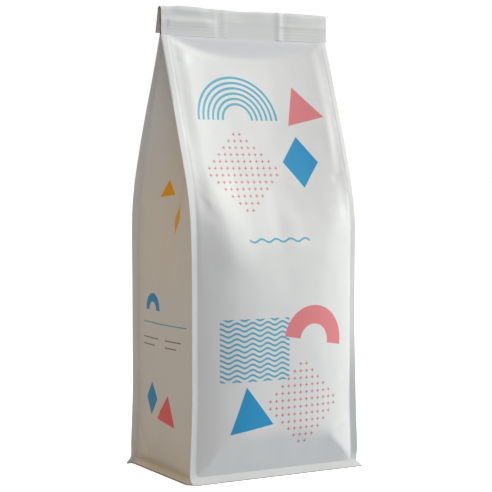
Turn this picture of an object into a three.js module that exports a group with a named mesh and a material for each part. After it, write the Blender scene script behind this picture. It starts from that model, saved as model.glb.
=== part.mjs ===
// Flat-bottomed bag of roasted coffee in white film, filled and heat-sealed, with its sealed top folded
// once to the back. Millimetres, +Z up, front towards -Y, origin under the middle of the base.
// The filled bag is one closed solid: its skin is a cylinder's grid, each ring of which is bent into the
// bag's outline at one height, or at one place along the folded top.
import * as THREE from "three";

// Overall size
const HEIGHT = 328; // floor to the fold
const WIDTH = 136; // front panel across both of its upright seals, at the top
const DEPTH = 93; // front to back at the upright seals, low down

// Seals that stand out along the edges
const SEAL = 4.5;
const SEAL_THICKNESS = 1;
const SEAL_LAND = 0.6; // least width of an upright seal, at a trimmed corner
const BASE_SEAL = 5.5; // height of the seal line round the base
const CORNER_RISE = 6; // two lower corners are trimmed round: height of the trim
const CORNER_TRIM = 4; // and its reach inwards
const EAR_REACH = 5; // the other two splay outwards
const EAR_HEIGHT = 6.5;
const EAR_TURN = 3; // how far a splayed corner turns in towards the side
const FRONT_SKIRT = 1; // outward lean of the front and back seals at the floor

// Fill
const FRONT_BULGE = 10;
const SIDE_BULGE = 4.5;
const BULGE_POWER = 2.4; // how soon a panel rises from its seals
const BULGE_MITRE = 0.04; // rounding where the rise from the side meets the rise from the base
const BULGE_RUN = 63; // the panel rises over this distance from its side seals
const BASE_RUN = 46; // and over this distance from the base
const WAIST = 1.8; // how far the bulging panels draw each side in
const WAIST_LOW = 60; // the sides are drawn in most from this height
const WAIST_HIGH = 130; // to this one
const WAIST_END = 250;

// Taper from the shoulder to the sealed top
const TAPER_SIDE = 0.39; // inward run for each millimetre of height, along the side seals
const TAPER_MIDDLE = 0.44; // the same along the middle of the panel
const SMILE = 12.5; // how much lower the panels part in the middle than at the sides
const SHOULDER_ROUNDING = 4;
const PANEL_ROUNDING = 6;
const PARTING_ROUNDING = 0.8;
const TOP_LEAN = 3.5; // the top sits forward of the base's middle
const LEAN_START = 150;

// Side gussets
const CREASE_START = 118; // below this height a gusset is open and bulges out
const CREASE_DEPTH = 40; // how far in its crease lies at the top
const LEG_POWER = 1.25; // bulge of the two halves beside the crease

// Folded top
const BAND_HEIGHT = 20;
const BAND_THICKNESS = 2;
const BAND_SHOULDER = 0.3; // step in thickness under the band, each side, and its height
const FOLD_RADIUS = 1.6; // to the middle of the film
const FLAP_LENGTH = 18;
const FLAP_LEAN = THREE.MathUtils.degToRad(14);

// Fineness of the faceting
const FRONT_STEPS = 16;
const SIDE_STEPS = 12;
const SEAL_STEPS = 3;
const BODY_STEPS = 32;
const FOLD_STEPS = 5;
const FLAP_STEPS = 3;
const EVENNESS = 0.6; // 1 spaces the rings evenly, 0 crowds them at both ends

const HALF_WIDTH = WIDTH / 2;
const INNER_HALF = HALF_WIDTH - SEAL;
const BAND_BOTTOM = HEIGHT - BAND_HEIGHT;
const FOLD_BASE = HEIGHT - FOLD_RADIUS - BAND_THICKNESS / 2;
const THROAT = BAND_THICKNESS / 2 + BAND_SHOULDER;

const { clamp, lerp, smoothstep } = THREE.MathUtils;

function softMin(a, b, rounding) {
  const low = Math.min(a, b);
  const gap = Math.abs(a - b);
  return low - rounding * Math.log1p(Math.exp(-gap / rounding));
}

function softMax(a, b, rounding) {
  return -softMin(-a, -b, rounding);
}

// Share of the full bulge at a place that is so far from the upright seals and from the base seal.
function swell(fromSide, fromBase, sideRun) {
  const rise = softMin(fromSide / sideRun, fromBase / BASE_RUN, BULGE_MITRE);
  return 1 - (1 - clamp(rise, 0, 1)) ** BULGE_POWER;
}

// How far the sides are drawn in at a height.
function waist(z) {
  return WAIST * smoothstep(z, 0, WAIST_LOW) * (1 - smoothstep(z, WAIST_HIGH, WAIST_END));
}

// Half the distance between the front and back seals.
function edgeDepth(z) {
  const taper = TAPER_SIDE * (BAND_BOTTOM - z) + THROAT;
  return softMin(DEPTH / 2, taper, SHOULDER_ROUNDING) + FRONT_SKIRT * Math.max(0, 1 - z / BASE_SEAL);
}

// How far the front or back panel stands from the middle plane.
function panelDepth(x, z) {
  const fromSide = INNER_HALF - Math.abs(x);
  if (fromSide <= 0 || z <= BASE_SEAL) return edgeDepth(z);
  const middle = 1 - (x / INNER_HALF) ** 2;
  const full = DEPTH / 2 + FRONT_BULGE * swell(fromSide, z - BASE_SEAL, BULGE_RUN);
  const parting = BAND_BOTTOM - SMILE * middle;
  const taper = lerp(TAPER_SIDE, TAPER_MIDDLE, middle) * (parting - z) + THROAT;
  const rounding = lerp(SHOULDER_ROUNDING, PANEL_ROUNDING, middle);
  return softMax(THROAT, softMin(full, taper, rounding), PARTING_ROUNDING);
}

// How far a side panel stands from the middle, at a share of the way from its crease to its seals. Under
// the base seal it flares out, but at its ends it stays behind the upright seals' edges.
function sideReach(side, share, z) {
  if (z <= BASE_SEAL) {
    const flared = lerp(HALF_WIDTH, INNER_HALF, z / BASE_SEAL);
    const behind = sealEdge(side, Math.sign(share) || 1, z).x - SEAL_LAND;
    const clear = smoothstep((1 - Math.abs(share)) * (DEPTH / 2), 0, CORNER_RISE);
    return lerp(Math.min(flared, behind), flared, clear);
  }
  const fromSeal = (1 - Math.abs(share)) * edgeDepth(z);
  const open = 1 - smoothstep(z, CREASE_START, BAND_BOTTOM);
  const bulge = SIDE_BULGE * open * swell(fromSeal, z - BASE_SEAL, DEPTH / 2);
  const fold = CREASE_DEPTH * (1 - open) * (1 - Math.abs(share)) ** LEG_POWER;
  return INNER_HALF + bulge - fold;
}

// Outer edge of an upright seal, and how far its lower corner turns in, for the right or left side (side
// 1 or -1) at the back or front (end 1 or -1). Opposite corners are alike.
function sealEdge(side, end, z) {
  const splayed = side * end < 0;
  if (splayed) {
    const down = clamp(1 - z / EAR_HEIGHT, 0, 1) ** 2;
    return { x: HALF_WIDTH + EAR_REACH * down, turn: EAR_TURN * down };
  }
  const down = clamp(1 - z / CORNER_RISE, 0, 1);
  return { x: HALF_WIDTH - CORNER_TRIM * (1 - Math.sqrt(1 - down ** 2)), turn: 0 };
}

// The stations of one ring, anticlockwise from above. A panel station has its place across the panel,
// a gusset station its share of the way across and whether it lies at the seal's outer edge.
function ringStations() {
  const across = [-HALF_WIDTH];
  for (let i = 0; i <= FRONT_STEPS; i++) across.push(lerp(-INNER_HALF, INNER_HALF, i / FRONT_STEPS));
  across.push(HALF_WIDTH);
  const along = [{ share: -1, outer: true }];
  for (let i = 0; i <= SIDE_STEPS; i++) along.push({ share: lerp(-1, 1, i / SIDE_STEPS), outer: false });
  along.push({ share: 1, outer: true });
  const stations = [];
  for (const turn of [-1, 1]) {
    for (const x of across) stations.push({ panel: true, end: turn, x: -turn * x });
    along.forEach((g, i) => {
      const order = (i + 1) / (along.length + 1);
      stations.push({ panel: false, side: -turn, share: -turn * g.share, outer: g.outer, order });
    });
  }
  return stations;
}

// Where a station lies in the flat cross-section at a height below the band.
function bodyPoint(station, z) {
  const [x, y] = straightPoint(station, z);
  return [x * (1 - waist(z) / HALF_WIDTH), y];
}

// The same before the sides are drawn in.
function straightPoint(station, z) {
  if (station.panel) {
    const { end } = station;
    if (Math.abs(station.x) < HALF_WIDTH) return [station.x, end * panelDepth(station.x, z)];
    const edge = sealEdge(Math.sign(station.x), end, z);
    return [Math.sign(station.x) * edge.x, end * (edgeDepth(z) - edge.turn)];
  }
  const inside = edgeDepth(z) - SEAL_THICKNESS;
  const edge = sealEdge(station.side, Math.sign(station.share), z);
  const reach = station.outer ? edge.x : sideReach(station.side, station.share, z);
  const atSeal = Math.abs(station.share) === 1 ? (reach - INNER_HALF) / (edge.x - INNER_HALF) : 0;
  const turn = edge.turn * clamp(atSeal, 0, 1);
  return [station.side * reach, station.share * (inside - turn)];
}

// Where it lies in the flat cross-section of the sealed band, which is a plain bar.
function bandPoint(station) {
  const half = BAND_THICKNESS / 2;
  if (station.panel) return [station.x, station.end * half];
  const rear = lerp(-half, half, station.order);
  return [station.side * HALF_WIDTH, station.side * rear];
}

// The rings, from the base up over the fold and down the flap: each has its middle (y, z), the turn of
// its plane, and its height on the body or null in the band.
function rings() {
  const made = [];
  for (let i = 0; i < SEAL_STEPS; i++) made.push({ body: (BASE_SEAL * i) / SEAL_STEPS });
  for (let i = 0; i <= BODY_STEPS; i++) {
    const even = i / BODY_STEPS;
    const crowded = (1 - Math.cos(Math.PI * even)) / 2;
    const share = lerp(crowded, even, EVENNESS);
    made.push({ body: lerp(BASE_SEAL, BAND_BOTTOM - BAND_SHOULDER, share) });
  }
  for (const ring of made) {
    ring.y = -TOP_LEAN * smoothstep(ring.body, LEAN_START, BAND_BOTTOM);
    ring.z = ring.body;
    ring.turn = 0;
  }
  made.push({ body: null, y: -TOP_LEAN, z: BAND_BOTTOM, turn: 0 });
  const fullTurn = Math.PI - FLAP_LEAN;
  for (let i = 0; i <= FOLD_STEPS; i++) {
    const turn = (fullTurn * i) / FOLD_STEPS;
    const y = -TOP_LEAN + FOLD_RADIUS * (1 - Math.cos(turn));
    const z = FOLD_BASE + FOLD_RADIUS * Math.sin(turn);
    made.push({ body: null, y, z, turn });
  }
  const fold = made[made.length - 1];
  for (let i = 1; i <= FLAP_STEPS; i++) {
    const run = (FLAP_LENGTH * i) / FLAP_STEPS;
    const y = fold.y + run * Math.sin(fold.turn);
    const z = fold.z + run * Math.cos(fold.turn);
    made.push({ body: null, y, z, turn: fold.turn });
  }
  return made;
}

function filmGeometry() {
  const stations = ringStations();
  const levels = rings();
  const points = levels.map((ring) =>
    stations.map((station) => {
      const [x, across] = ring.body === null ? bandPoint(station) : bodyPoint(station, ring.body);
      const y = ring.y + across * Math.cos(ring.turn);
      const z = ring.z - across * Math.sin(ring.turn);
      return new THREE.Vector3(x, y, z);
    }),
  );
  const middles = levels.map((ring) => new THREE.Vector3(0, ring.y, ring.z));
  const geometry = new THREE.CylinderGeometry(1, 1, 1, stations.length, levels.length - 1);
  const position = geometry.getAttribute("position");
  for (let i = 0; i < position.count; i++) {
    const [x, height, z] = [position.getX(i), position.getY(i), position.getZ(i)];
    const level = Math.round((height + 0.5) * (levels.length - 1));
    const angle = Math.atan2(x, z) / (2 * Math.PI);
    const station = Math.round((angle + 1) * stations.length) % stations.length;
    const point = Math.hypot(x, z) < 0.5 ? middles[level] : points[level][station];
    position.setXYZ(i, point.x, point.y, point.z);
  }
  geometry.computeVertexNormals();
  return geometry;
}

const film = new THREE.MeshStandardMaterial({ color: 0xe9e8e4, roughness: 0.42, metalness: 0 });

const bag = new THREE.Group();
const skin = new THREE.Mesh(filmGeometry(), film);
skin.name = "coffee_bag";
bag.add(skin);

export default bag;
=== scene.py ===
"""A filled, flat-bottomed bag of coffee in white printed film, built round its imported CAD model."""

import math

import bmesh
import bpy
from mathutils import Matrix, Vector, noise


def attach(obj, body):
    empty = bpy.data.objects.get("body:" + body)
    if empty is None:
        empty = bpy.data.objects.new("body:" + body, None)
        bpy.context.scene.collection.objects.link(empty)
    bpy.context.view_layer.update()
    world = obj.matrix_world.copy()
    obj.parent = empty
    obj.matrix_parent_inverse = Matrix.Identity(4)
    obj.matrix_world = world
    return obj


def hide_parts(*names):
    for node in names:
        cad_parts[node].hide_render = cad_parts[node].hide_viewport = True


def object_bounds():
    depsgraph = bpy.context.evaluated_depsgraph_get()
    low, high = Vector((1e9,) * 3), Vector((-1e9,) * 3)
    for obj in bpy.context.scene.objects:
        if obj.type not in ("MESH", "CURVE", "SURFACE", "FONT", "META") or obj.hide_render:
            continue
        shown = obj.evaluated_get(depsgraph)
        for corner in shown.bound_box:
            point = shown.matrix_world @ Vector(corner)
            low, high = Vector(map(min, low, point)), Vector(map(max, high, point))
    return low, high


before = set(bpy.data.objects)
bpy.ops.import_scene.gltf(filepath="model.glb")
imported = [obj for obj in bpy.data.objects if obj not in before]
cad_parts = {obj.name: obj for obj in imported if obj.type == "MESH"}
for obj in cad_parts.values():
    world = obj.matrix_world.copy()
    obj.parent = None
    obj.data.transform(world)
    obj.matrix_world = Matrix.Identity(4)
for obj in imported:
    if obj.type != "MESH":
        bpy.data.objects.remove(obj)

bl_info = {
    "name": "Coffee bag",
    "version": (1, 0, 0),
    "blender": (4, 5, 0),
    "location": "View3D > Sidebar > Bag",
    "description": "Makes a filled, flat-bottomed film bag with a folded top",
    "category": "Add Mesh",
}

CAD_BOX = [list(corner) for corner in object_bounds()]
MM = 0.001


def linear(code):
    """The linear colour of an sRGB hex value such as #e9e8e4."""
    shares = [int(code[i : i + 2], 16) / 255 for i in (1, 3, 5)]
    return tuple(c / 12.92 if c <= 0.04045 else ((c + 0.055) / 1.055) ** 2.4 for c in shares)


# Sizes and colours that a user would change


def length(name, description, default):
    """A size as a property, from its value in millimetres."""
    return bpy.props.FloatProperty(
        name=name, description=description, default=default * MM, unit="LENGTH"
    )


def colour(name, description, code):
    """A colour property from its hex value."""
    return bpy.props.FloatVectorProperty(
        name=name, description=description, default=linear(code), subtype="COLOR", min=0, max=1
    )


class BagSizes(bpy.types.PropertyGroup):
    """Sizes of the filled bag."""

    height: length("Height", "From the floor to the fold at the top", (CAD_BOX[1][2] - CAD_BOX[0][2]) / MM)
    width: length("Width", "Across both upright seals, at the top", 136)
    depth: length("Depth", "Front to back at the upright seals, low down", 93)
    seal: length("Seal", "Width of an upright seal", 4.5)
    base_seal: length("Base seal", "Height of the seal line round the base", 5.5)
    front_bulge: length("Front bulge", "How far the front stands out past its seals", 10)
    side_bulge: length("Side bulge", "How far a side stands out past its seals", 4.5)
    crease_depth: length("Crease depth", "How far in a gusset's crease lies at the top", 40)
    band: length("Band", "Height of the sealed band under the fold", 20)
    flap: length("Flap", "Length of the flap behind the band", 16)


class BagColours(bpy.types.PropertyGroup):
    """Colours of the film and its print."""

    film: colour("Film", "White satin film", "#eaebea")
    blue: colour("Blue", "Solid blue ink", "#1c9bd2")
    sky: colour("Light blue", "Ink of the blue lines", "#5fb4cf")
    salmon: colour("Salmon", "Solid pink ink", "#e9868a")
    rose: colour("Rose", "Ink of the small crosses", "#d8767c")
    orange: colour("Orange", "Ink of the side's upper shapes", "#fbb22c")
    coral: colour("Coral", "Ink of the side's lower shape", "#f9686c")
    azure: colour("Azure", "Ink of the side's blue shapes", "#0c98e2")
    brown: colour("Brown", "Ink of the side's thin bars", "#8a6f5c")
    # The cut edge's colour is also painted shade where the bag meets the floor
    edge: colour("Cut edge and foot shade", "Raw edge of the film, darkened as painted shade at the floor", "#8d8883")
    # Painted shade for the folded top's ends, where their layers shade each other
    ends: colour("Shade of the folded ends", "Painted shade on the folded top's ends, between its layers", "#4b443d")


# Shape of the film, in millimetres


def soft_min(a, b, rounding):
    """The smaller of two values, rounded where they meet."""
    return min(a, b) - rounding * math.log1p(math.exp(-abs(a - b) / rounding))


def soft_max(a, b, rounding):
    """The larger of two values, rounded where they meet."""
    return -soft_min(-a, -b, rounding)


def clamp(value, low=0.0, high=1.0):
    """The value held between two others."""
    return max(low, min(high, value))


def mix(a, b, share):
    """A value part of the way from a to b."""
    return a + (b - a) * share


def ease(value, start, end):
    """0 before start, 1 after end, and smooth between."""
    t = clamp((value - start) / (end - start))
    return t * t * (3 - 2 * t)


def between(value, rise, fall):
    """0 outside a rise and a fall and 1 between them, where each of the two is a start and an end."""
    return ease(value, *rise) * (1 - ease(value, *fall))


def hump(value, centre, width):
    """A round bump, 1 at its centre and nearly 0 two widths away."""
    return math.exp(-(((value - centre) / width) ** 2))


def uneven(x, y, patch):
    """Smooth unevenness about 0. Each patch number gives a pattern of its own, the same each run."""
    return noise.noise(Vector((x, y, patch)))


def dents(x, z, patch, size, depths, finer):
    """Broad shallow dents of a size across and up, with finer ones in them."""
    place = Vector((x / size[0], z / size[1], patch))
    return depths[0] * noise.noise(place) + depths[1] * noise.noise(place * finer)


FOLD_FLANK = 1.6  # the larger, the narrower a fold's sharp crest


def ridge(x, z, start, end, height, left, right, crisp=0.0):
    """Relief of a fold that runs down from start to end and dies away past them."""
    run_x, run_z = end[0] - start[0], end[1] - start[1]
    run = math.hypot(run_x, run_z)
    along = ((x - start[0]) * run_x + (z - start[1]) * run_z) / run
    across = ((x - start[0]) * run_z - (z - start[1]) * run_x) / run
    # Full over the middle three fifths of its run
    fade = hump(max(0.0, abs(along / run - 0.5) - 0.3), 0, 0.2)
    off = across / left if across > 0 else -across / right
    return height * fade * mix(hump(off, 0, 1), math.exp(-FOLD_FLANK * off), crisp)


# Folds of a panel, seen from the front: upper end and lower end (x, z), height, and the width
# on the left and on the right. The last is 0 for a round crest and 1 for a sharp one
PANEL_FOLDS = (
    ((-51, 212), (-35, 146), 1.9, 12, 16, 0.1),
    ((51, 256), (46, 172), 0.9, 24, 14, 0),
    ((46, 190), (37, 146), 0.3, 9, 10, 0.1),
    ((4, 206), (3, 164), -0.6, 8, 20, 0),
    ((13, 184), (13, 158), 0.5, 9, 9, 0),
    ((-61, 203), (-50, 190), 0.4, 2, 2, 0.2),
    ((-60, 196), (-48, 178), -0.35, 4, 4, 0),
    ((58, 262), (53, 222), 0.15, 4, 4, 0.2),
    ((63, 216), (52, 207), -0.5, 3, 3, 0.1),
    ((63, 37), (40, 29), 0.6, 4, 4, 0.5),
    ((40, 28), (62, 8), 0.6, 3, 3, 0.6),
    ((-57, 306), (-55, 289), 0.7, 3, 9, 0.2),
    ((-48, 24), (-61, 8), 0.35, 3, 3, 0.5),
    ((62, 75), (54, 66), -0.4, 3.4, 3.4, 0.2),
)

# Folds of a side, seen from outside
SIDE_FOLDS = (
    ((-40, 196), (-14, 168), 0.9, 5, 5, 0.2),
    ((40, 188), (18, 160), 0.8, 5, 5, 0.2),
    ((44, 216), (12, 132), 1.0, 16, 9, 0.7),
    ((-44, 216), (-12, 132), 0.8, 9, 16, 0.7),
    ((9, 132), (4, 22), 0.45, 14, 9, 0.8),
    ((-42, 30), (-20, 12), -0.8, 4, 4, 0.4),
    ((40, 26), (24, 10), -0.6, 4, 4, 0.4),
)

PANEL_DENTS = {"size": (34, 46), "depths": (0.45, 0.16), "finer": 2.7}
SIDE_DENTS = {"size": (30, 40), "depths": (0.4, 0.14), "finer": 2.6}


class Shape:
    """The filled bag as functions of where a point lies on the film."""

    # How the panels run in towards the band. A pair in brackets is where something begins and ends
    TAPER_SIDE = 0.39  # inward run for each millimetre of height, along the upright seals
    TAPER_MIDDLE = 0.44  # the same along the middle of a panel
    TAPER_ROUNDING = 4, 5  # of the bend where the taper begins, at the seals and in the middle
    THROAT = 1.0  # half the thickness just under the band
    THROAT_ROUNDING = 0.5
    LEAN = 3.5  # how far the top sits forward of the base's middle
    LEAN_START = 150  # the bag is upright up to this height
    MIDDLE_POWER = 1.5  # the larger, the wider the part of a panel that counts as its middle
    MIDDLE_EDGE = (-6, 6)  # distance in from the seals over which that part is softened

    # Along a line under the band the panels part, and below it they swell out over the beans
    SMILE = 14.5  # how much lower they part in the middle than at the seals
    SMILE_POWER = 2.4  # the larger, the flatter that line is in the middle
    LIP = 0.55  # how far the film stands out in a lip just under the line
    LIP_DROP = 4  # how far under the line the lip lies
    LIP_WIDTH = 3
    SHOULDERS = 2.1, 1.3  # how far the film swells out, on the left and on the right
    SHOULDER_CHANGE = (-30, 40)  # from left to right the one gives way to the other
    SHOULDER_RISE = (190, 260)
    SWELL_RUN = 11  # how far under the line most of the swelling is done
    DISH = 3.4  # how far the tapering film sinks in between its seals
    DISH_RISE, DISH_FALL = (112, 212), (240, 286)
    GROOVE = 0.45  # depth of the pressed groove along the band's foot
    GROOVE_WIDTH = 0.7

    # How the panels and the sides bulge over the beans
    PANEL_POWER = 3.2  # the larger, the steeper a panel rises from its seals
    SIDE_POWER = 2.4  # the same for a side
    FACET = 0.36  # slope of a panel's facet over the base seal
    FACET_ROUNDING = 0.9
    SIDE_FACET = 0.85  # slope of a side's facet over its seal line
    SIDE_FACET_ROUNDING = 0.6
    SETTLED = 13, 11  # how far in from its left and right seals a panel is free of them
    WAIST = 1.8  # how far the bulging panels draw each side in
    WAIST_RISE, WAIST_FALL = (0, 60), (130, 250)
    FOLDS_FADE = 8, 12  # run over which a panel's folds die away, at its foot and under the parting line
    SIDE_FOLDS_FADE = 9, (30, 4)  # the same on a side, at its foot and under the band
    BACK_FOLDS = 0.94, 3, 9  # the back's folds: their width against the front's, and how far moved

    # Short ripples along the seals
    PUCKER = 0.4  # height on a panel
    PUCKER_REACH = 9  # how far in they are felt
    PUCKER_LENGTHS = 9, 4.2  # coarse and fine
    PUCKER_FINE = 0.6  # height of the fine ones against the coarse ones
    PUCKER_LOW = 0.35  # share of their height that is left low down
    PUCKER_RISE = (120, 190)
    SEAM = 0.1  # depth of the line beside a seal
    SEAM_WIDTH = 0.6
    SIDE_PUCKER = 0.45
    SIDE_PUCKER_REACH = 8
    SIDE_PUCKER_LENGTH = 8
    FOOT_WAVE = 0.5  # waves along the foot of a panel
    FOOT_WAVE_LENGTH = 27
    FOOT_WAVE_EDGE = 12  # how far in from the seals they have their full height

    # Gussets
    CREASE_START = 118  # below this height a gusset is open and bulges out
    CREASE_POWER = 1.25  # the larger, the hollower the folded gusset
    CREASE_LINE = 0.5  # how far the line pressed down the middle of a side stands out
    CREASE_LINE_WIDTH = 0.0239  # as a share of half the side
    CREASE_LINE_RISE = (6, 20)

    # Seals and lower corners
    FILM = 0.5  # thickness of an upright seal
    SKIRT = 1.0  # how far the base seal stands out at the floor
    SIDE_SEAL = 3.6  # height of the seal line at the foot of a side
    FLARE_POWER = 1.8  # the larger, the sooner a side's foot runs out into that seal
    BEHIND = 0.6  # how far within the fin's edge that foot stays
    CORNER_RISE = 7  # height of the round trim at two of the lower corners
    CORNER_TRIM = 4.2  # how far in it reaches at the floor
    EARS = {1: (5.2, 0.5), -1: (4.6, 3.0)}  # how far the other two splay out and turn in, by side
    EAR_HEIGHT = 2.8  # height at which an ear has half its reach
    EAR_TIP = 0.12, 0.9  # share of its reach that it loses at the floor, and from what height
    # How far a fin's edge leans away from the middle, low down and from its middle up, by side and end
    FIN_LEANS = {(1, -1): (1.8, -0.2), (-1, -1): (0.3, 0.3), (1, 1): (0.5, 0.5), (-1, 1): (0.9, 0.9)}
    FIN_CHANGE = (45, 110)  # from the one lean to the other
    FIN_RISE = (4, 16)
    FIN_FALL = (60, 20)  # under the band

    def __init__(self, sizes):
        for name in BagSizes.__annotations__:
            setattr(self, name, getattr(sizes, name) / MM)
        self.half = self.width / 2
        self.inner = self.half - self.seal
        self.top = self.height - self.band

    def waist(self, z):
        """How far the sides are drawn in at a height."""
        return self.WAIST * between(z, self.WAIST_RISE, self.WAIST_FALL)

    def edge_depth(self, z):
        """Half the distance between the front and back seals."""
        taper = self.TAPER_SIDE * (self.top - z) + self.THROAT
        skirt = self.SKIRT * max(0.0, 1 - z / self.base_seal)
        return soft_min(self.depth / 2, taper, self.TAPER_ROUNDING[0]) + skirt

    def nearness(self, x, power):
        """How near the middle of a panel a point lies, from 0 at its seals to 1."""
        inside = self.inner - abs(x)
        return (1 - (abs(x) / self.inner) ** power) * ease(inside, *self.MIDDLE_EDGE)

    def parting(self, x):
        """Height under which the front and the back part."""
        return self.top - self.SMILE * self.nearness(x, self.SMILE_POWER)

    def free_of_seal(self, x):
        """0 at a panel's upright seals and 1 where the film lies free of them."""
        settled = self.SETTLED[0] if x < 0 else self.SETTLED[1]
        return ease(self.inner - abs(x), 0, settled)

    def panel_depth(self, x, z, end):
        """How far the front (end -1) or back (end 1) stands from the middle plane."""
        inside = self.inner - abs(x)
        if inside <= 0:
            return self.edge_depth(z)
        if z <= self.base_seal:
            wave = self.FOOT_WAVE * uneven(x / self.FOOT_WAVE_LENGTH, end * 6.1, 3.3)
            held = ease(inside, 0, self.FOOT_WAVE_EDGE)
            return self.edge_depth(z) + wave * held * (1 - z / self.base_seal)
        parting, free = self.parting(x), self.free_of_seal(x)
        over = z - self.base_seal
        rise = 1 - (1 - inside / self.inner) ** self.PANEL_POWER
        belly = soft_min(self.front_bulge * rise, self.FACET * over, self.FACET_ROUNDING)
        full = self.depth / 2 + max(0.0, belly)
        depth = self.tapered(full, x, z)
        low, high = self.FOLDS_FADE
        held = between(z, (self.base_seal, self.base_seal + low), (parting - high, parting))
        relief = held * self.panel_relief(x, z, end)
        relief += self.LIP * hump(z, parting - self.LIP_DROP, self.LIP_WIDTH)
        groove = self.GROOVE * hump(z, self.top - self.GROOVE_WIDTH, self.GROOVE_WIDTH) * ease(inside, 0, 2)
        return depth + free * relief + self.pucker(inside, x, z, end) - groove

    def tapered(self, full, x, z):
        """How far a panel stands out, full or where the taper holds it in, whichever is less."""
        middle, parting = self.nearness(x, self.MIDDLE_POWER), self.parting(x)
        taper = mix(self.TAPER_SIDE, self.TAPER_MIDDLE, middle) * (parting - z) + self.THROAT
        swell = 1 - math.exp(-max(0.0, parting - z) / self.SWELL_RUN)
        shoulder = mix(*self.SHOULDERS, ease(x, *self.SHOULDER_CHANGE))
        taper += shoulder * self.free_of_seal(x) * swell * ease(z, *self.SHOULDER_RISE)
        depth = soft_min(full, taper, mix(*self.TAPER_ROUNDING, middle))
        dish = self.DISH * middle * between(z, self.DISH_RISE, self.DISH_FALL)
        return soft_max(self.THROAT, depth - dish, self.THROAT_ROUNDING)

    def panel_relief(self, x, z, end):
        """Folds and dimples of the front, and others like them on the back."""
        if end > 0:
            share, across, up = self.BACK_FOLDS
            x, z = across - share * x, z - up
        relief = sum(ridge(x, z, *fold) for fold in PANEL_FOLDS)
        return relief + dents(x, z, end * 3.7, **PANEL_DENTS)

    def pucker(self, inside, x, z, end):
        """Short ripples where a panel leaves its upright seals, and the line beside each seal."""
        patch = math.copysign(5, x) + end * 11
        coarse, fine = self.PUCKER_LENGTHS
        ripple = uneven(patch, z / coarse, 0.3) + self.PUCKER_FINE * uneven(patch, z / fine, 7.1)
        ripple *= mix(self.PUCKER_LOW, 1, ease(z, *self.PUCKER_RISE))
        felt = ease(inside, 0, 4) * math.exp(-inside / self.PUCKER_REACH)
        return self.PUCKER * ripple * felt - self.SEAM * hump(inside, 1, self.SEAM_WIDTH)

    def side_flare(self, z):
        """How far out the foot of a side runs in its seal with the base."""
        down = 1 - clamp(z / self.SIDE_SEAL)
        return mix(self.half, self.inner, 1 - down**self.FLARE_POWER)

    def side_reach(self, side, share, z):
        """How far a side stands from the middle, at a share of the way from its crease to its seals."""
        if z <= self.SIDE_SEAL:
            flared = self.side_flare(z)
            behind = self.seal_edge(side, 1 if share >= 0 else -1, z)[0] - self.BEHIND
            clear = ease((1 - abs(share)) * self.depth / 2, 0, self.CORNER_RISE)
            return mix(min(flared, behind), flared, clear)
        inside = (1 - abs(share)) * self.edge_depth(z)
        over = z - self.SIDE_SEAL
        opened = 1 - ease(z, self.CREASE_START, self.top)
        rise = 1 - (1 - clamp(inside / (self.depth / 2))) ** self.SIDE_POWER
        belly = soft_min(self.side_bulge * rise, self.SIDE_FACET * over, self.SIDE_FACET_ROUNDING)
        crease = self.crease_depth * (1 - opened) * (1 - abs(share)) ** self.CREASE_POWER
        line = self.CREASE_LINE * opened * math.exp(-abs(share) / self.CREASE_LINE_WIDTH)
        line *= ease(z, *self.CREASE_LINE_RISE)
        low, high = self.SIDE_FOLDS_FADE
        fall = [self.top - under for under in high]
        held = between(z, (self.SIDE_SEAL, self.SIDE_SEAL + low), fall) * ease(inside, 0, 5)
        relief = held * self.side_relief(side, share, z, inside)
        return self.inner + max(0.0, belly) * opened - crease + line + relief

    def side_relief(self, side, share, z, inside):
        """Folds, dimples and puckers of a side."""
        y = share * self.edge_depth(z)
        relief = sum(ridge(y * side, z, *fold) for fold in SIDE_FOLDS)
        relief += dents(y, z, side * 9.1, **SIDE_DENTS)
        patch = side * 3 + math.copysign(17, share)
        ripple = uneven(patch, z / self.SIDE_PUCKER_LENGTH, 2.2)
        return relief + self.SIDE_PUCKER * ripple * math.exp(-inside / self.SIDE_PUCKER_REACH)

    def seal_edge(self, side, end, z):
        """Outer edge of an upright seal, and how far that edge turns in."""
        fall = [self.top - under for under in self.FIN_FALL]
        lean = mix(*self.FIN_LEANS[side, end], ease(z, *self.FIN_CHANGE))
        lean *= between(z, self.FIN_RISE, fall)
        if side * end < 0:
            reach, turn = self.EARS[side]
            less, low = self.EAR_TIP
            down = 1 / (1 + (z / self.EAR_HEIGHT) ** 4) - less * clamp(1 - z / low) ** 2
            return self.half + reach * down, turn * down - lean
        down = clamp(1 - z / self.CORNER_RISE)
        return self.half - self.CORNER_TRIM * (1 - math.sqrt(1 - down * down)), -lean


# The film as one grid: across it run the stations of a ring, along it the levels of the bag

PANEL_COLUMNS = 88
GUSSET_COLUMNS = 56
RIM = (0.33, 0.66, 0.94)  # stations across an upright seal, as shares of its width


def crowded(count, crowding):
    """Places from -1 to 1 that lie closer together towards both ends."""
    even = [-1 + 2 * i / count for i in range(count + 1)]
    return [(1 + crowding) * place - crowding * place**3 for place in even]


def stations(shape):
    """The ring's stations, anticlockwise from above, as (kind, end, place, value).

    The end is -1 over the front half of the ring and 1 over its back half. The place tells the two
    seals of a strip of film apart, and the value is how far across the strip the station lies.
    """
    half_ring = [("seal", -1, share) for share in reversed(RIM)]
    half_ring += [("panel", 0, shape.inner * place) for place in crowded(PANEL_COLUMNS, 0.3)]
    half_ring += [("seal", 1, share) for share in RIM]
    half_ring += [("tip", 0, -1)]
    half_ring += [("back of seal", -1, share) for share in reversed(RIM)]
    half_ring += [("gusset", 0, place) for place in crowded(GUSSET_COLUMNS, 0.25)]
    half_ring += [("back of seal", 1, share) for share in RIM]
    half_ring += [("tip", 0, 1)]
    return [(kind, end, place, value) for end in (-1, 1) for kind, place, value in half_ring]


GAP = 0.3  # least distance kept between two layers of film
GUSSET_HELD = (0.94, 1)  # over these shares of half a side, its film comes to turn with the fin
GUSSET_FREE = 30  # from this far under the band, a folded gusset keeps between the panels


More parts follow.
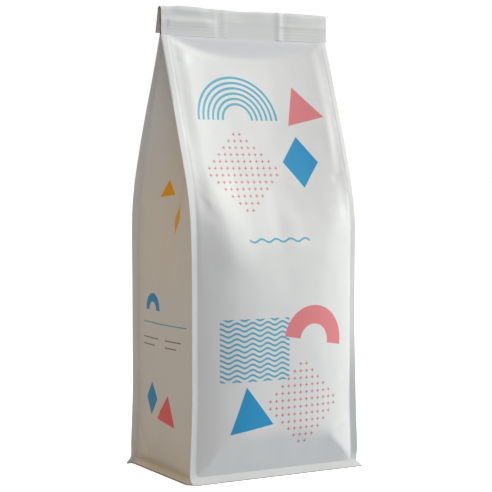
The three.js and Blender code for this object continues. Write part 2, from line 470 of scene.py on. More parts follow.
def station_point(shape, station, z):
    """Where a station lies, in plan, at a height below the band."""
    kind, end, place, value = station
    if kind == "panel":
        x = -end * value
        point = x, end * shape.panel_depth(x, z, end)
    elif kind == "seal":
        side = -end * place
        reach, turn = shape.seal_edge(side, end, z)
        x = mix(shape.inner, reach, value)
        point = side * x, end * (shape.edge_depth(z) - turn * value)
    else:
        side = -end
        if kind == "tip":
            corner = value * side
            reach, turn = shape.seal_edge(side, corner, z)
            point = side * reach, corner * (shape.edge_depth(z) - shape.FILM / 2 - turn)
        elif kind == "back of seal":
            corner = place * side
            reach, turn = shape.seal_edge(side, corner, z)
            root = shape.side_reach(side, corner, z)
            x = mix(min(root, reach - GAP), reach, value)
            bend = turn * clamp((x - shape.inner) / (reach - shape.inner))
            point = side * x, corner * (shape.edge_depth(z) - shape.FILM - bend)
        else:
            share = value * side
            corner = 1 if share >= 0 else -1
            x = shape.side_reach(side, share, z)
            reach, turn = shape.seal_edge(side, corner, z)
            held = ease(abs(share), *GUSSET_HELD)
            bend = turn * clamp((x - shape.inner) / (reach - shape.inner)) * held
            y = share * (shape.edge_depth(z) - shape.FILM) - corner * bend
            if z > shape.top - GUSSET_FREE:
                room = shape.panel_depth(side * x, z, corner) - GAP
                y = clamp(y, -room, room)
            point = side * x, y
    drawn = 1 - shape.waist(z) / shape.half
    return point[0] * drawn, point[1]


def film_place(shape, station, on_panel):
    """Where a station lies across its own panel of film, as seen from outside, or across the side."""
    kind, _, place, value = station
    if kind == "panel":
        return value
    if kind == "seal":
        return place * mix(shape.inner, shape.half, value)
    if kind == "tip":
        return -value * shape.half if on_panel else value * (shape.depth / 2 + shape.seal)
    if kind == "back of seal":
        return place * (shape.depth / 2 + shape.seal * value)
    return value * shape.depth / 2


class Level:
    """One ring of the film: where its middle is, how its plane is turned, and what it belongs to."""

    def __init__(self, part, value, y=0.0, z=0.0, turn=0.0):
        self.part, self.value, self.y, self.z, self.turn = part, value, y, z, turn


# The sealed top, from where the bag ends, over the fold and down the flap
BAND_HALF = 0.95  # half the band's thickness where the gussets are folded in
BAND_MIDDLE = 0.72  # and between the gussets
BAND_LEAST = 0.2  # and at the least
FLAP_HALF = 0.5
FLAP_MIDDLE = 0.8  # share of that thickness between the gussets
FOLD_RADIUS = 1.7
FLAP_LEAN = math.radians(14)
SEALED = 9.8  # height of the pressed part of the band
PRESSED_IN = 0.07  # how much thinner pressing makes it
RIB_PITCH = 2.2
RIB_HEIGHTS = 0.02, 0.045  # between the gussets, and over them
GUSSET_FOLD = 24.5  # where the folded-in gussets end, from the middle
ENDS_ROUND = 0.15  # how far the cut side of the layers stands back at its corners

# Relief of the band. A plain pair is for its left and its right
LEDGE = 1.1, 0.3  # how far the ledge over the ribs stands out
LEDGE_ABOVE = 1.9, 1.2  # how far up it fades
LEDGE_BELOW = 4.2, 1.6  # and how far down
LEDGE_STRAY = 0.4  # how far it strays from level
LOOSE_WAVE = 0.4  # height of the waves in the loose part over it
LOOSE_LEAST = -0.25
BROW = 0.7  # height of a brow in the loose part's left
BROW_RISE, BROW_FALL = (30, 38), (52, 61)  # where it begins and ends, from the middle
SAG = 0.5  # depth of a sag in its middle
SAG_WIDTH = 13
FIN_LINE = 0.1  # depth of the line along a fin's root
FIN_THINNER = 0.3  # how much thinner the band is over the right fin
FLAP_WAVE = 0.4  # how far the flap's lower edge strays from straight
FLAP_STRAY = 0.5  # and how far the flap strays from flat

# Under the base: height, and how far inside the seal's inner face
BASE_RINGS = (
    (0.15, 20),
    (0.2, 14),
    (0.5, 9),
    (1.3, 5),
    (2.7, 1.8),
    (3.3, 0.7),
    (3.2, 0.15),
    (1.8, 0),
    (0, 0),
)
BASE_MIDDLE = 9  # rings between there and the middle
BASE_CORNER = 1.2  # radius of those rings' corners
BASE_SAG = 0.2, 0.12  # height of the base panel off the floor, and how uneven that is
WALL = 0.8  # thickness of the base seal
SEAL_ROWS = (0, 0.5, 1.0, 1.6, 2.2, 2.9, 3.7, 4.6)  # heights of the rings up the base seal
EDGE_AND_SHADE_HEIGHT = 0.5  # height of the dark strip round the foot: the film's cut edge, darkened as painted shade where the bag meets the floor

UNDER_BAND = 0.3  # how far under the band the bag's last row lies
BODY_ROWS = 176
BODY_EVEN = 0.75  # 1 spaces those rows evenly, and 0 crowds them at both ends
BAND_ROWS = 34
FOLD_ROWS = 8
FLAP_ROWS = 12


def film_levels(shape):
    """The rings from the middle of the base out, up the bag, over the fold and down the flap."""
    levels = [Level("base", i / BASE_MIDDLE) for i in range(BASE_MIDDLE)]
    levels += [Level("base ring", inset, z=z) for z, inset in BASE_RINGS]
    body = list(SEAL_ROWS)
    reach = shape.top - UNDER_BAND - shape.base_seal
    for i in range(BODY_ROWS + 1):
        even = i / BODY_ROWS
        share = mix((1 - math.cos(math.pi * even)) / 2, even, BODY_EVEN)
        body.append(shape.base_seal + reach * share)
    for z in body:
        lean = shape.LEAN * ease(z, shape.LEAN_START, shape.top)
        levels.append(Level("body", z, -lean, z))
    straight = shape.height - FOLD_RADIUS - BAND_HALF - shape.top
    for i in range(BAND_ROWS):
        run = straight * i / BAND_ROWS
        levels.append(Level("band", run, -shape.LEAN, shape.top + run))
    for i in range(FOLD_ROWS + 1):
        turn = (math.pi - FLAP_LEAN) * i / FOLD_ROWS
        y = -shape.LEAN + FOLD_RADIUS * (1 - math.cos(turn))
        z = shape.top + straight + FOLD_RADIUS * math.sin(turn)
        levels.append(Level("band", straight + FOLD_RADIUS * turn, y, z, turn))
    last = levels[-1]
    for i in range(1, FLAP_ROWS + 1):
        run = shape.flap * i / FLAP_ROWS
        y, z = last.y + run * math.sin(last.turn), last.z + run * math.cos(last.turn)
        levels.append(Level("flap", last.value + run, y, z, last.turn))
    end = levels[-1]
    levels.append(Level("end", end.value, end.y, end.z, end.turn))
    return levels


# Edges of the folded-in gussets across the band, seen from outside: place, how far they stand
# out, and width
FOLD_LINES = ((-25.4, 0.12, 1.3), (-17.8, 0.2, 1.3), (27.3, 0.42, 0.9), (32, -0.25, 2))


def band_relief(shape, x, end, run, folded):
    """How far the band's film stands out past its even thickness, at a run up from its foot."""
    outer = x * -end
    inside = ease(shape.inner - abs(x), -1, 3)
    pressed = between(run, (0, 1), (SEALED, SEALED + 0.8))
    # Sealing ribs, pressed into the lower part
    rib = math.sin(math.tau * run / RIB_PITCH) * mix(*RIB_HEIGHTS, folded) * ease(run, 2, 5)
    relief = inside * pressed * (rib - PRESSED_IN)
    # A ledge over them, where the pressing stops: broad on the left and slight on the right
    rightward = ease(outer, -30, 30)
    over = run - (SEALED + 0.3 + LEDGE_STRAY * uneven(x / 19, end * 2.0, 5.2))
    fades = mix(*(LEDGE_ABOVE if over > 0 else LEDGE_BELOW), rightward)
    held = ease(abs(outer), GUSSET_FOLD - 1, GUSSET_FOLD + 9) * mix(0.6, 1, inside)
    relief += mix(*LEDGE, rightward) * hump(over, 0, fades) * held
    # Loose waves above, and on the front a brow at the left and a sag in the middle
    wave = LOOSE_WAVE * uneven(x / 21, run / 12, end * 4.0)
    relief += ease(run, SEALED, SEALED + 3) * max(LOOSE_LEAST, wave)
    if end < 0:
        brow = ease(run, SEALED + 4, SEALED + 9) * between(-outer, BROW_RISE, BROW_FALL)
        sag = ease(run, SEALED, SEALED + 8) * hump(outer, -2, SAG_WIDTH)
        relief += BROW * inside * brow - SAG * sag
    # The fins' roots run up into the band
    relief -= FIN_LINE * hump(abs(x), shape.inner, 0.7) * pressed
    relief -= FIN_THINNER * ease(outer, shape.inner - 0.5, shape.half) * ease(run, 0, 4)
    return relief + sum(height * hump(outer, line, width) for line, height, width in FOLD_LINES)


def band_section(shape, station, level):
    """Where a station lies in the cross-section of the sealed top: across, and out from its middle."""
    kind, end, place, value = station
    on_panel = kind in ("panel", "seal")
    x = -end * (film_place(shape, station, on_panel) if on_panel else shape.half)
    folded = ease(abs(x), GUSSET_FOLD - 1, GUSSET_FOLD + 1)
    if level.part == "band":
        half = mix(BAND_MIDDLE, BAND_HALF, folded)
        half = max(BAND_LEAST, half + band_relief(shape, x, end, level.value, folded))
    else:
        half = FLAP_HALF * mix(FLAP_MIDDLE, 1, folded)
    if on_panel:
        return x, end * half
    # The cut side of the layers, a little rounded
    order = {"tip": value, "gusset": 0.9 * value, "back of seal": place * mix(0.9, 0.99, value)}[kind]
    return x + end * ENDS_ROUND * order**2, -end * order * half


def film_point(shape, station, level):
    """The place of a station at a level, in millimetres."""
    if level.part in ("base", "base ring"):
        return base_point(shape, station, level)
    if level.part == "body":
        x, out = station_point(shape, station, level.value)
    else:
        x, out = band_section(shape, station, level)
        if level.part == "end":
            out = 0.0
    y = level.y + out * math.cos(level.turn)
    z = level.z - out * math.sin(level.turn)
    if level.part in ("flap", "end"):
        down = (level.value - shape.band) / shape.band
        z += FLAP_WAVE * uneven(x / 23, 5.5, 1.0)
        y += FLAP_STRAY * down * uneven(x / 40, 2.5, 8.0)
    return x, y, z


def base_point(shape, station, level):
    """A point of the underside: up inside the seal, then in over the sagging base panel."""
    kind, end, place, value = station
    height, inset = BASE_RINGS[0] if level.part == "base" else (level.z, level.value)
    room_x = shape.side_flare(height) - WALL - inset
    room_y = shape.edge_depth(min(height, shape.SIDE_SEAL)) - WALL - inset
    outer = abs(station_point(shape, station, 0)[0])
    side = -end
    if kind == "panel":
        x, y = side * value * (room_x - BASE_CORNER) / shape.inner, end * room_y
    elif kind == "gusset":
        x, y = side * min(room_x, outer - GAP), side * value * (room_y - BASE_CORNER)
    else:
        turn = {"seal": value / 2, "tip": 0.5, "back of seal": 1 - value / 2}[kind] * math.pi / 2
        corner_x = min(room_x - BASE_CORNER * (1 - math.sin(turn)), outer - GAP)
        corner_y = room_y - BASE_CORNER * (1 - math.cos(turn))
        x = (side * place if kind == "seal" else side) * corner_x
        y = {"seal": end, "tip": side * value, "back of seal": side * place}[kind] * corner_y
    if level.part == "base":
        x, y = x * level.value, y * level.value
        height = BASE_SAG[0] + BASE_SAG[1] * uneven(x / 25, y / 25, 4.4)
    return x, y, height


PRINTED, SIDE, BACK, SEALED_FILM, BASE, CUT_AND_FOOT_SHADE, PRESSED, SHADED_ENDS = range(8)  # slots of the mesh's materials
CREASE_ANGLE = math.radians(42)  # edges that turn more than this stay sharp
SAME_PLACE = 1e-6  # metres, within which corners are joined
PARTING_SOFT = 2  # above and below the line where the panels part, the painted shade above that line fades in over this


def of_panel(kinds):
    """Whether film between two kinds of stations is part of a panel, and not of a side."""
    return kinds <= {"panel", "seal"} or kinds == {"seal", "tip"}


def film_slot(shape, pair, low, high):
    """The material of the film between two stations and between two levels."""
    kinds = {station[0] for station in pair}
    if high.part in ("base", "base ring") or low.part == "base ring":
        return BASE
    # Painted shade: a dark strip round the foot, on the film's cut edge, for the shade where the bag meets
    # the floor
    if high.part == "body" and high.z <= EDGE_AND_SHADE_HEIGHT:
        return CUT_AND_FOOT_SHADE
    if low.part != "body":
        # The band's ends get the painted shade of the folded ends
        return PRESSED if of_panel(kinds) else SHADED_ENDS
    if low.z < shape.base_seal:
        return SEALED_FILM
    if kinds == {"panel"}:
        return PRINTED if pair[0][1] < 0 else BACK
    return SIDE if kinds == {"gusset"} else SEALED_FILM


def film_mesh(shape):
    """The whole bag's film as one closed mesh, with the film's own places in its UV map, in metres."""
    ring = stations(shape)
    levels = film_levels(shape)
    columns, rows = len(ring), len(levels) - 1
    points = [[film_point(shape, station, level) for station in ring] for level in levels]
    # Runs up the film are measured along the first fin's edge
    fin = next(i for i, station in enumerate(ring) if station[0] == "tip")
    runs = [0.0]
    for low, high in zip(points, points[1:]):
        runs.append(runs[-1] + math.dist(low[fin], high[fin]))
    floor = next(i for i, level in enumerate(levels) if level.part == "body")
    bm = bmesh.new()
    bmesh.ops.create_grid(bm, x_segments=columns, y_segments=rows, size=1)
    uv = bm.loops.layers.uv.new("film")
    under_band_shade = bm.verts.layers.float.new("under_band_shade")
    cells = {}
    for vert in bm.verts:
        i = round((vert.co.x + 1) / 2 * columns)
        j = round((vert.co.y + 1) / 2 * rows)
        cells[vert] = i, j
        vert.co = Vector(points[j][i % columns]) * MM
        kind, _, _, value = ring[i % columns]
        # Painted shade on the panels above the line where they part, under the band
        if kind == "panel" and levels[j].part == "body":
            parting = shape.parting(value)
            vert[under_band_shade] = ease(levels[j].z, parting - PARTING_SOFT, parting + PARTING_SOFT)
    for face in bm.faces:
        corners = [cells[vert] for vert in face.verts]
        i, j = min(c[0] for c in corners), min(c[1] for c in corners)
        pair = ring[i], ring[(i + 1) % columns]
        on_panel = of_panel({station[0] for station in pair})
        for loop in face.loops:
            column, row = cells[loop.vert]
            across = film_place(shape, ring[column % columns], on_panel)
            loop[uv].uv = across * MM, (runs[row] - runs[floor]) * MM
        face.smooth = True
        face.material_index = film_slot(shape, pair, levels[j], levels[j + 1])
    bmesh.ops.remove_doubles(bm, verts=bm.verts, dist=SAME_PLACE)
    bmesh.ops.dissolve_degenerate(bm, edges=bm.edges, dist=SAME_PLACE)
    # The film is creased where a panel meets its seals
    creased = ({PRINTED, SEALED_FILM}, {BACK, SEALED_FILM})
    for edge in bm.edges:
        meeting = {face.material_index for face in edge.link_faces}
        edge.smooth = edge.calc_face_angle(0) < CREASE_ANGLE and meeting not in creased
    mesh = bpy.data.meshes.new("bag_film")
    bm.to_mesh(mesh)
    bm.free()
    return mesh


# Materials

# Sizes in metres of what the surfaces show close to
CLOUD = 0.035  # patches over which the white layer is a little uneven
GRIT = 0.0005  # the lacquer's matting grit, drawn coarser than it is so that it shows
HANDLING = 0.014  # the faint soft creases that handling leaves
BURR = 0.0015  # the blade's burrs along a cut edge

# Share of the white's colour left as painted bluish shade where the front and back touch, over the beans
# under the band
UNDER_BAND_SHADE = (0.935, 0.93, 0.965)

WHITE_LAYER = 1.02, 0.975  # how light the white is where it is dense, and where it is sparse
EDGE_TONES = 0.85, 1.15  # how light a cut edge is in its burrs' hollows, and on them

PLASTIC = 1.5  # index of refraction of the film and its lacquer
MATT = 0.42  # roughness of the film as it is made
SEALED_MATT = 0.36  # and where heat and pressure have smoothed it
CUT_MATT = 0.5
TOP_FILM_TONE = 0.92  # the film of the top is drawn a little greyer than the rest
ROUGHNESS_STRAY = 0.04  # how far the film's roughness strays either way
LACQUER = {"Coat Weight": 0.12, "Coat Roughness": 0.25}
GRIT_SHARE = 0.05  # height of the grit against the creases'
SURFACE = {"Strength": 0.03, "Distance": 2 * MM}  # how strongly both are felt

MATH = "ShaderNodeMath"
VECTOR = "ShaderNodeVectorMath"
MIX = "ShaderNodeMix"
SHARE, FIRST, SECOND = 0, 6, 7  # a colour mix's inputs, by number


def add(tree, kind, inputs=None, **settings):
    """A node with its settings. An input takes a value, another node's output, or the node itself."""
    node = tree.nodes.new(kind)
    for name, value in settings.items():
        setattr(node, name, value)
    for name, value in (inputs or {}).items():
        if isinstance(value, bpy.types.Node):
            value = next(output for output in value.outputs if output.enabled)
        if isinstance(value, bpy.types.NodeSocket):
            tree.links.new(value, node.inputs[name])
        else:
            node.inputs[name].default_value = value
    return node


def new_material(name):
    """A node material without nodes, and its tree."""
    material = bpy.data.materials.new(name)
    material.use_nodes = True
    material.node_tree.nodes.clear()
    return material, material.node_tree


def satin_film(name, colours, prints=(), roughness=MATT, tone=1.0):
    """White PE film under matt-lacquered PET: a broad soft sheen on a milky white, the inks under it."""
    material, tree = new_material(name)
    places = add(tree, "ShaderNodeUVMap", uv_map="film")
    film = add(tree, VECTOR, {0: places, "Scale": 1 / MM}, operation="SCALE")
    where = add(tree, "ShaderNodeTexCoord").outputs["Object"]
    cloud = add(tree, "ShaderNodeTexNoise", {"Vector": where, "Scale": 1 / CLOUD, "Detail": 2})
    dense, sparse = ((*(clamp(c * tone * light) for c in colours.film), 1) for light in WHITE_LAYER)
    base = add(tree, MIX, {SHARE: cloud, FIRST: dense, SECOND: sparse}, data_type="RGBA")
    # Painted bluish shade over the panels' film above the line where they part
    under_band_shade = add(tree, "ShaderNodeAttribute", attribute_name="under_band_shade").outputs["Fac"]
    shaded_white = (*(c * share for c, share in zip(colours.film, UNDER_BAND_SHADE)), 1)
    base = add(tree, MIX, {SHARE: under_band_shade, FIRST: base, SECOND: shaded_white}, data_type="RGBA")
    for motif in prints:
        ink = (*getattr(colours, motif.ink), 1)
        mixing = {SHARE: motif.mask(tree, film), FIRST: base, SECOND: ink}
        base = add(tree, MIX, mixing, data_type="RGBA")
    limits = {"To Min": roughness - ROUGHNESS_STRAY, "To Max": roughness + ROUGHNESS_STRAY}
    gloss = add(tree, "ShaderNodeMapRange", {"Value": cloud, **limits})
    grit = add(tree, "ShaderNodeTexNoise", {"Vector": where, "Scale": 1 / GRIT, "Detail": 1})
    creases = {"Vector": where, "Scale": 1 / HANDLING, "Detail": 3, "Distortion": 0.6}
    creases = add(tree, "ShaderNodeTexNoise", creases)
    height = add(tree, MATH, {0: grit, 1: GRIT_SHARE, 2: creases}, operation="MULTIPLY_ADD")
    bump = add(tree, "ShaderNodeBump", {"Height": height, **SURFACE})
    finish = {"Base Color": base, "Roughness": gloss, "Normal": bump, "IOR": PLASTIC, **LACQUER}
    shader = add(tree, "ShaderNodeBsdfPrincipled", finish)
    add(tree, "ShaderNodeOutputMaterial", {"Surface": shader})
    return material


def cut_edge_and_shade(name, colour):
    """Dark grey with burrs: the laminate's raw edge, grey where its metal layer shows between the plastics
    and darkened at the foot as painted shade, and the painted shade of the folded top's ends.
    """
    material, tree = new_material(name)
    where = add(tree, "ShaderNodeTexCoord").outputs["Object"]
    burrs = add(tree, "ShaderNodeTexNoise", {"Vector": where, "Scale": 1 / BURR, "Detail": 2})
    dark, light = ((*(clamp(c * tone) for c in colour), 1) for tone in EDGE_TONES)
    base = add(tree, MIX, {SHARE: burrs, FIRST: dark, SECOND: light}, data_type="RGBA")
    finish = {"Base Color": base, "Roughness": CUT_MATT, "IOR": PLASTIC}
    shader = add(tree, "ShaderNodeBsdfPrincipled", finish)
    add(tree, "ShaderNodeOutputMaterial", {"Surface": shader})
    return material


# The print, in millimetres. Each outline or filling gives how far outside its ink a point lies


def block(tree, point, wide, high):
    """A plain rectangle."""
    flat = add(tree, VECTOR, {0: point}, operation="ABSOLUTE")
    over = add(tree, VECTOR, {0: flat, 1: (wide, high, 0)}, operation="SUBTRACT")
    over = add(tree, "ShaderNodeSeparateXYZ", {0: over})
    return add(tree, MATH, {0: over.outputs[0], 1: over.outputs[1]}, operation="MAXIMUM")


def diamond(tree, point, wide, high):
    """A square or longer diamond on its tip."""
    slope = 1 / math.hypot(1 / wide, 1 / high)
    flat = add(tree, VECTOR, {0: point}, operation="ABSOLUTE")
    total = add(tree, VECTOR, {0: flat, 1: (slope / wide, slope / high, 0)}, operation="DOT_PRODUCT")
    return add(tree, MATH, {0: total, 1: slope}, operation="SUBTRACT")


def triangle(tree, point, wide, high):
    """A triangle with its tip up."""
    lean = math.atan2(wide, 2 * high)
    flat = add(tree, VECTOR, {0: point, 1: (1, 0, 0)}, operation="MULTIPLY")
    flat = add(tree, VECTOR, {0: flat}, operation="ABSOLUTE")
    upright = add(tree, VECTOR, {0: point, 1: (0, 1, 0)}, operation="MULTIPLY")
    folded = add(tree, VECTOR, {0: flat, 1: upright}, operation="ADD")
    flank = add(tree, VECTOR, {0: folded, 1: (math.cos(lean), math.sin(lean), 0)}, operation="DOT_PRODUCT")
    flank = add(tree, MATH, {0: flank, 1: high * math.sin(lean)}, operation="SUBTRACT")
    foot = add(tree, VECTOR, {0: folded, 1: (0, -1, 0)}, operation="DOT_PRODUCT")
    foot = add(tree, MATH, {0: foot, 1: high}, operation="SUBTRACT")
    return add(tree, MATH, {0: flank, 1: foot}, operation="MAXIMUM")


def arch(tree, point, reach, hole):
    """The upper half of a ring."""
    middle = (reach + hole) / 2
    out = add(tree, VECTOR, {0: point}, operation="LENGTH")
    off = add(tree, MATH, {0: out, 1: middle}, operation="SUBTRACT")
    off = add(tree, MATH, {0: off}, operation="ABSOLUTE")
    ring = add(tree, MATH, {0: off, 1: (reach - hole) / 2}, operation="SUBTRACT")
    below = add(tree, VECTOR, {0: point, 1: (0, -1, 0)}, operation="DOT_PRODUCT")
    return add(tree, MATH, {0: ring, 1: below}, operation="MAXIMUM")


def plain(tree, point):
    """Ink all over the outline, which needs no nodes."""
    return None


def rings(tree, point):
    """Thin rings round the motif's centre."""
    pitch, line = 4.0, 1.8
    out = add(tree, VECTOR, {0: point}, operation="LENGTH")
    off = add(tree, MATH, {0: out, 1: pitch / 2}, operation="PINGPONG")
    return add(tree, MATH, {0: off, 1: line / 2}, operation="SUBTRACT")


def waves(tree, point):
    """Wavy lines across the motif."""
    pitch, line, wave, swing = 3.6, 1.5, 12.0, 1.1
    parts = add(tree, "ShaderNodeSeparateXYZ", {0: point})
    turn = add(tree, MATH, {0: parts.outputs[0], 1: math.tau / wave}, operation="MULTIPLY")
    bend = add(tree, MATH, {0: turn}, operation="SINE")
    bent = add(tree, MATH, {0: bend, 1: swing, 2: parts.outputs[1]}, operation="MULTIPLY_ADD")
    off = add(tree, MATH, {0: bent, 1: pitch / 2}, operation="PINGPONG")
    return add(tree, MATH, {0: off, 1: line / 2}, operation="SUBTRACT")


CROSS_PITCH = 5.0


def crosses(tree, point):
    """Rows of small crosses."""
    arm, line = 1.2, 0.33
    cell = add(tree, VECTOR, {0: point, 1: (CROSS_PITCH,) * 3}, operation="SNAP")
    inside = add(tree, VECTOR, {0: point, 1: cell}, operation="SUBTRACT")
    inside = add(tree, VECTOR, {0: inside, 1: (CROSS_PITCH / 2,) * 3}, operation="SUBTRACT")
    upright, level = block(tree, inside, line, arm), block(tree, inside, arm, line)
    return add(tree, MATH, {0: upright, 1: level}, operation="MINIMUM")


class Motif:
    """A printed shape: its outline, filling, centre, half width and height, turn in degrees, and ink."""

    EDGE = 0.2  # the soft edge of the ink

    def __init__(self, outline, filling, at, size, turn, ink):
        self.outline, self.filling, self.ink = outline, filling, ink
        self.at, self.size, self.turn = at, size, turn

    def mask(self, tree, film):
        """Where the motif's ink lies."""
        place = {"Vector": film, "Location": (*self.at, 0), "Rotation": (0, 0, math.radians(self.turn))}
        point = add(tree, "ShaderNodeMapping", place, vector_type="TEXTURE")
        held = point
        if self.filling is crosses:
            # The outline is read at each cell's middle, so that every cross is whole
            held = add(tree, VECTOR, {0: point, 1: (CROSS_PITCH,) * 3}, operation="SNAP")
            held = add(tree, VECTOR, {0: held, 1: (CROSS_PITCH / 2,) * 3}, operation="ADD")
        outside = self.outline(tree, held, *self.size)
        filling = self.filling(tree, point)
        if filling:
            outside = add(tree, MATH, {0: outside, 1: filling}, operation="MAXIMUM")
        soft = {0: outside, 1: -1 / self.EDGE, 2: 0.5}
        return add(tree, MATH, soft, operation="MULTIPLY_ADD", use_clamp=True)


FRONT_PRINT = (
    Motif(arch, rings, (-17, 255), (33.1, 8.9), 0, "sky"),
    Motif(triangle, plain, (35, 268), (15, 13.5), 14, "salmon"),
    Motif(diamond, crosses, (-20, 217), (33, 30), 0, "rose"),
    Motif(diamond, plain, (28, 224), (14, 19), 0, "blue"),
    Motif(block, waves, (0, 168.8), (25, 1.7), 0, "sky"),
    Motif(block, waves, (-22, 94), (27, 21.6), 0, "sky"),
    Motif(arch, plain, (26, 98), (25, 12), -10, "salmon"),
    Motif(diamond, crosses, (17, 55), (34, 30), 0, "rose"),
    Motif(triangle, plain, (-27, 54), (17, 15), 9, "blue"),
)
BACK_PRINT = (
    Motif(block, waves, (0, 250), (34, 21.6), 0, "sky"),
    Motif(triangle, plain, (0, 206), (20, 17.5), 0, "salmon"),
    Motif(diamond, crosses, (0, 132), (45, 40), 0, "rose"),
    Motif(diamond, plain, (0, 132), (12, 15), 0, "blue"),
    Motif(arch, rings, (0, 40), (33.1, 8.9), 0, "sky"),
)
SIDE_PRINT = (
    Motif(triangle, plain, (-13, 205), (7, 6), 8, "orange"),
    Motif(diamond, plain, (11, 184), (8, 11), 0, "orange"),
    Motif(arch, plain, (-14, 118), (12, 6), 0, "azure"),
    Motif(block, plain, (2, 109), (33, 0.4), 0, "sky"),
    Motif(block, plain, (-18, 98), (13, 0.4), 0, "brown"),
    Motif(block, plain, (-21, 93), (10, 0.4), 0, "brown"),
    Motif(block, plain, (17, 98), (11, 0.4), 0, "brown"),
    Motif(block, plain, (14, 93), (8, 0.4), 0, "brown"),
    Motif(diamond, plain, (-15, 55), (9, 12), 0, "azure"),
    Motif(triangle, plain, (9, 50), (13, 10), -8, "coral"),
)


# Operators


def slots(material_list, mesh):
    """Gives a mesh its materials in order."""
    for material in material_list:
        mesh.materials.append(material)


class BAG_OT_film(bpy.types.Operator):
    """Make the filled bag's film, with its seals, gussets, folded top and print"""

    bl_idname = "bag.film"
    bl_label = "Film bag"

    def execute(self, context):
        shape = Shape(context.scene.bag_sizes)
        colours = context.scene.bag_colours
        mesh = film_mesh(shape)
        slots(
            (
                satin_film("front film, gravure printed", colours, FRONT_PRINT),
                satin_film("side film, gravure printed", colours, SIDE_PRINT),
                satin_film("back film, gravure printed", colours, BACK_PRINT),
                satin_film("heat-sealed film", colours, roughness=SEALED_MATT),
                satin_film("base film", colours),
                # Painted shade at the foot, on the film's cut edge
                cut_edge_and_shade("cut edge of laminated film and painted foot shade", colours.edge),
                satin_film("pressed film of the top", colours, (), SEALED_MATT, TOP_FILM_TONE),
                # Painted shade: the folded top's ends are drawn dark for the shade between its layers
                cut_edge_and_shade("painted shade of the folded ends", colours.ends),
            ),
            mesh,
        )
        bag = bpy.data.objects.new("bag_film", mesh)
        context.scene.collection.objects.link(bag)
        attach(bag, "root")
        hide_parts("coffee_bag")
        return {"FINISHED"}


class BAG_OT_stage(bpy.types.Operator):
    """Make the pale floor, the lights and the camera"""

    bl_idname = "bag.stage"
    bl_label = "Stage"

    def execute(self, context):
        stage_floor(context)
        stage_light(context)
        stage_camera(context)
        return {"FINISHED"}


FLOOR_REACH = 12  # metres from the bag to the floor's rim

# Name, colour, glow, and how far under the bag
FLOORS = (
    ("pale floor", "#f4f4f2", 0.8, 0.0),
    ("grey floor for bounced light", "#c2c8d1", 0.0, 0.001),
)

WHITE = (1, 1, 1, 1)

# Light from the room, in general and from the left
ROOM = (0.555, 0.60, 0.69, 1)
ROOM_LEFT = (0.455, 0.27, 0.035, 1)
LEFTWARD = (-1, 0.25, -0.25)  # where the room's left lies, from the bag
ROOM_CHANGE = {"From Min": -0.2, "From Max": 0.8}  # from the one light to the other along that

# Name, place in metres, width in metres, watts and colour
LIGHTS = (
    ("key", (3.27, -1.19, 1.58), 1.6, 107, (1.0, 0.975, 0.83)),
)
LIT_MIDDLE = (0, 0, 0.17)

CAMERA_PLACE = (-0.5226, -0.9194, 0.2177)
CAMERA_YAW = 29.73  # degrees to the right of straight ahead
CAMERA_PITCH = 3.15  # degrees below level
CAMERA_SENSOR = 36  # millimetres wide
CAMERA_LENS = 107.2  # millimetres
CAMERA_REACH = 50  # metres, past the floor's rim


def stage_floor(context):
    """A wide pale floor that the camera sees, and the greyer one that light bounces from on to the bag."""
    for name, code, glow, drop in FLOORS:
        bm = bmesh.new()
        bmesh.ops.create_grid(bm, x_segments=1, y_segments=1, size=FLOOR_REACH)
        bmesh.ops.translate(bm, verts=bm.verts, vec=(0, 0, -drop))
        mesh = bpy.data.meshes.new(name)
        bm.to_mesh(mesh)
        bm.free()
        material, tree = new_material(name)
        inputs = {"Base Color": (*linear(code), 1), "Roughness": 0.9, "Specular IOR Level": 0.1}
        inputs.update({"Emission Color": WHITE, "Emission Strength": glow})
        shader = add(tree, "ShaderNodeBsdfPrincipled", inputs)
        add(tree, "ShaderNodeOutputMaterial", {"Surface": shader})
        mesh.materials.append(material)
        floor = bpy.data.objects.new(name, mesh)
        shown = drop == 0
        floor.visible_camera = shown
        floor.visible_diffuse = floor.visible_glossy = floor.visible_shadow = not shown
        context.scene.collection.objects.link(floor)


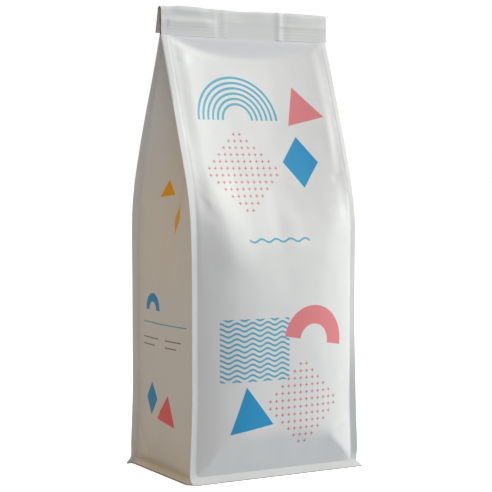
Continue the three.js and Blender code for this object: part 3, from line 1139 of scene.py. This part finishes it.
def stage_light(context):
    """A soft key from the right, and a room that is warm and dim on the left and shows as white."""
    world = bpy.data.worlds.new("soft room")
    context.scene.world = world
    world.use_nodes = True
    tree = world.node_tree
    tree.nodes.clear()
    ray = add(tree, "ShaderNodeTexCoord").outputs["Generated"]
    left = add(tree, VECTOR, {0: ray, 1: LEFTWARD}, operation="DOT_PRODUCT")
    share = add(tree, "ShaderNodeMapRange", {"Value": left, **ROOM_CHANGE})
    room = add(tree, MIX, {SHARE: share, FIRST: ROOM, SECOND: ROOM_LEFT}, data_type="RGBA")
    seen = add(tree, "ShaderNodeLightPath").outputs["Is Camera Ray"]
    shown = add(tree, MIX, {SHARE: seen, FIRST: room, SECOND: WHITE}, data_type="RGBA")
    background = add(tree, "ShaderNodeBackground", {"Color": shown})
    add(tree, "ShaderNodeOutputWorld", {"Surface": background})
    for name, place, size, power, tint in LIGHTS:
        light = bpy.data.lights.new(name, "AREA")
        light.shape = "DISK"
        light.size = size
        light.energy = power
        light.color = tint
        lamp = bpy.data.objects.new(name, light)
        lamp.location = place
        aim = Vector(LIT_MIDDLE) - Vector(place)
        lamp.rotation_euler = aim.to_track_quat("-Z", "Y").to_euler()
        context.scene.collection.objects.link(lamp)
    context.scene.view_settings.view_transform = "Standard"


def stage_camera(context):
    """The camera, at the photograph's angle."""
    lens = bpy.data.cameras.new("camera")
    lens.sensor_width = CAMERA_SENSOR
    lens.lens = CAMERA_LENS
    lens.clip_end = CAMERA_REACH
    camera = bpy.data.objects.new("camera", lens)
    camera.location = CAMERA_PLACE
    camera.rotation_euler = (math.radians(90 - CAMERA_PITCH), 0, math.radians(-CAMERA_YAW))
    context.scene.collection.objects.link(camera)
    context.scene.camera = camera


class BAG_PT_panel(bpy.types.Panel):
    """The bag's sizes, colours and pieces"""

    bl_idname = "BAG_PT_panel"
    bl_label = "Coffee bag"
    bl_space_type = "VIEW_3D"
    bl_region_type = "UI"
    bl_category = "Bag"

    def draw(self, context):
        for group in (context.scene.bag_sizes, context.scene.bag_colours):
            for name in group.__annotations__:
                self.layout.prop(group, name)
        for operator in (BAG_OT_film, BAG_OT_stage):
            self.layout.operator(operator.bl_idname)


CLASSES = (BagSizes, BagColours, BAG_OT_film, BAG_OT_stage, BAG_PT_panel)


def register():
    """Adds the classes and the scene's settings."""
    for cls in CLASSES:
        bpy.utils.register_class(cls)
    bpy.types.Scene.bag_sizes = bpy.props.PointerProperty(type=BagSizes)
    bpy.types.Scene.bag_colours = bpy.props.PointerProperty(type=BagColours)


def unregister():
    """Takes them away again."""
    del bpy.types.Scene.bag_sizes
    del bpy.types.Scene.bag_colours
    for cls in reversed(CLASSES):
        bpy.utils.unregister_class(cls)


def main():
    """Makes the bag and its stage."""
    register()
    bpy.ops.bag.film()
    bpy.ops.bag.stage()


if __name__ == "__main__":
    main()
